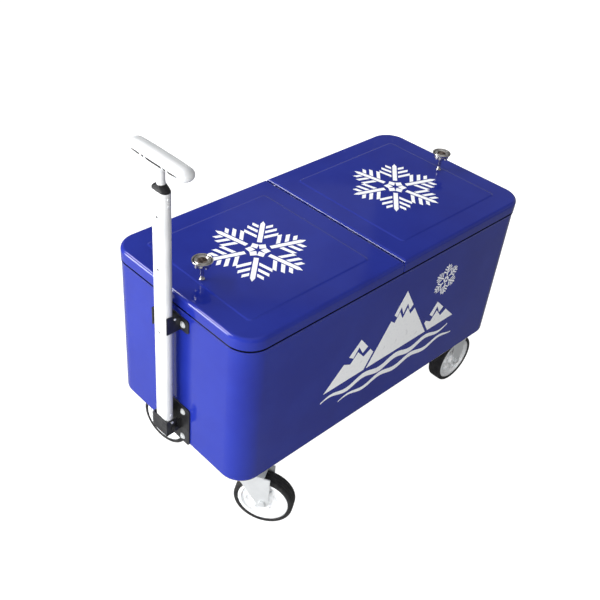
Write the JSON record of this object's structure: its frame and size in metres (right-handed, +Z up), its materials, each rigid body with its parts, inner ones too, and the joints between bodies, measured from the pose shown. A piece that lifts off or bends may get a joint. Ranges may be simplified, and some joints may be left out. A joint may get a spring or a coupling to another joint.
{
  "type": "cooler on wheels",
  "caption": "Insulated steel patio cooler with two half lids hinged at the middle, chrome knobs, a telescoping T pull handle on one end, and swivel and rigid casters.",
  "frame": {"origin": "on the floor, under the middle of the tub", "axes": "+X along the tub, away from the pull handle; +Z up"},
  "size_m": [0.869, 0.4434, 0.8009],
  "materials": {
    "blue_paint": "gloss royal blue",
    "foam": "matte closed-cell foam",
    "liner_plastic": "smooth white liner",
    "zinc": "bright zinc plate",
    "chrome": "polished",
    "black_metal": "satin black powder coat",
    "black_plastic": "satin black moulding",
    "white_paint": "white powder coat",
    "white_plastic": "soft-gloss white moulding",
    "hub_plastic": "white polypropylene",
    "tyre_rubber": "black rubber tread",
    "rubber_seal": "soft seal"
  },
  "bodies": {
    "tub": {"outer_shell": "blue_paint", "insulation": "foam", "inner_liner": "liner_plastic", "centre_bar": "blue_paint", "hinge_rods": "zinc", "bar_screws": "zinc", "drain_spout": "black_plastic", "drain_washer": "rubber_seal", "drain_nut": "black_plastic", "lower_bracket": "black_metal", "bracket_bolts": "zinc", "pivot_pin": "black_metal", "upper_clip": "black_metal", "swivel_plates": "zinc", "kingpins": "zinc", "rigid_fork_front": "zinc", "rigid_fork_back": "zinc", "rigid_axles": "zinc", "caster_bolts": "zinc"},
    "drain_cap": {"drain_cap": "black_plastic"},
    "handle": {"stirrup": "black_metal", "handle_tube": "white_paint", "tube_plug": "black_plastic", "tube_collar": "black_plastic", "handle_rivets": "zinc"},
    "grip": {"handle_rod": "chrome", "guide_shoe": "black_plastic", "grip_core": "white_plastic", "grip_upper": "white_plastic", "grip_lower": "white_plastic"},
    "lock_button": {"lock_button": "chrome"},
    "caster_front": {"swivel_fork_front": "zinc", "swivel_axle_front": "zinc"},
    "caster_back": {"swivel_fork_back": "zinc", "swivel_axle_back": "zinc"},
    "left_lid": {"left_lid_skin": "blue_paint", "left_lid_foam": "foam", "left_lid_pan": "liner_plastic", "left_lid_gasket": "rubber_seal", "left_hinge_strap": "zinc", "left_knob_cap": "chrome", "left_knob_stem": "chrome"},
    "right_lid": {"right_lid_skin": "blue_paint", "right_lid_foam": "foam", "right_lid_pan": "liner_plastic", "right_lid_gasket": "rubber_seal", "right_hinge_strap": "zinc", "right_knob_cap": "chrome", "right_knob_stem": "chrome"},
    "wheel_swivel_front": {"tyre_swivel_front": "tyre_rubber", "hub_swivel_front": "hub_plastic"},
    "wheel_swivel_back": {"tyre_swivel_back": "tyre_rubber", "hub_swivel_back": "hub_plastic"},
    "wheel_rigid_front": {"tyre_rigid_front": "tyre_rubber", "hub_rigid_front": "hub_plastic"},
    "wheel_rigid_back": {"tyre_rigid_back": "tyre_rubber", "hub_rigid_back": "hub_plastic"}
  },
  "joints": [
    {"name": "left_lid_hinge", "type": "hinge", "parent": "tub", "child": "left_lid", "pos_m": [-0.0106, 0, 0.509], "axis": [0, 1, 0], "range_deg": [0, 80]},
    {"name": "right_lid_hinge", "type": "hinge", "parent": "tub", "child": "right_lid", "pos_m": [0.0106, 0, 0.509], "axis": [0, -1, 0], "range_deg": [0, 80]},
    {"name": "handle_tilt", "type": "hinge", "parent": "tub", "child": "handle", "pos_m": [-0.4214, 0, 0.199], "axis": [0, -1, 0], "range_deg": [0, 55]},
    {"name": "handle_telescope", "type": "slide", "parent": "handle", "child": "grip", "axis": [0, 0, 1], "range_m": [0, 0.246]},
    {"name": "lock_button_press", "type": "slide", "parent": "grip", "child": "lock_button", "axis": [1, 0, 0], "range_m": [0, 0.002], "stiffness_N_per_m": 400},
    {"name": "drain_cap_turn", "type": "hinge", "parent": "tub", "child": "drain_cap", "pos_m": [0.4124, 0, 0.209], "axis": [1, 0, 0], "range_deg": [0, 720]},
    {"name": "caster_front_swivel", "type": "hinge", "parent": "tub", "child": "caster_front", "pos_m": [-0.337, -0.153, 0.14], "axis": [0, 0, 1], "continuous": true},
    {"name": "caster_back_swivel", "type": "hinge", "parent": "tub", "child": "caster_back", "pos_m": [-0.337, 0.153, 0.14], "axis": [0, 0, 1], "continuous": true},
    {"name": "wheel_swivel_front_spin", "type": "hinge", "parent": "caster_front", "child": "wheel_swivel_front", "pos_m": [-0.31715, -0.1854, 0.0625], "axis": [0.8526, 0.5225, 0], "continuous": true},
    {"name": "wheel_rigid_front_spin", "type": "hinge", "parent": "tub", "child": "wheel_rigid_front", "pos_m": [0.337, -0.153, 0.0625], "axis": [0, 1, 0], "continuous": true},
    {"name": "wheel_swivel_back_spin", "type": "hinge", "parent": "caster_back", "child": "wheel_swivel_back", "pos_m": [-0.33073, 0.11552, 0.0625], "axis": [0.9863, 0.165, 0], "continuous": true},
    {"name": "wheel_rigid_back_spin", "type": "hinge", "parent": "tub", "child": "wheel_rigid_back", "pos_m": [0.337, 0.153, 0.0625], "axis": [0, 1, 0], "continuous": true}
  ]
}
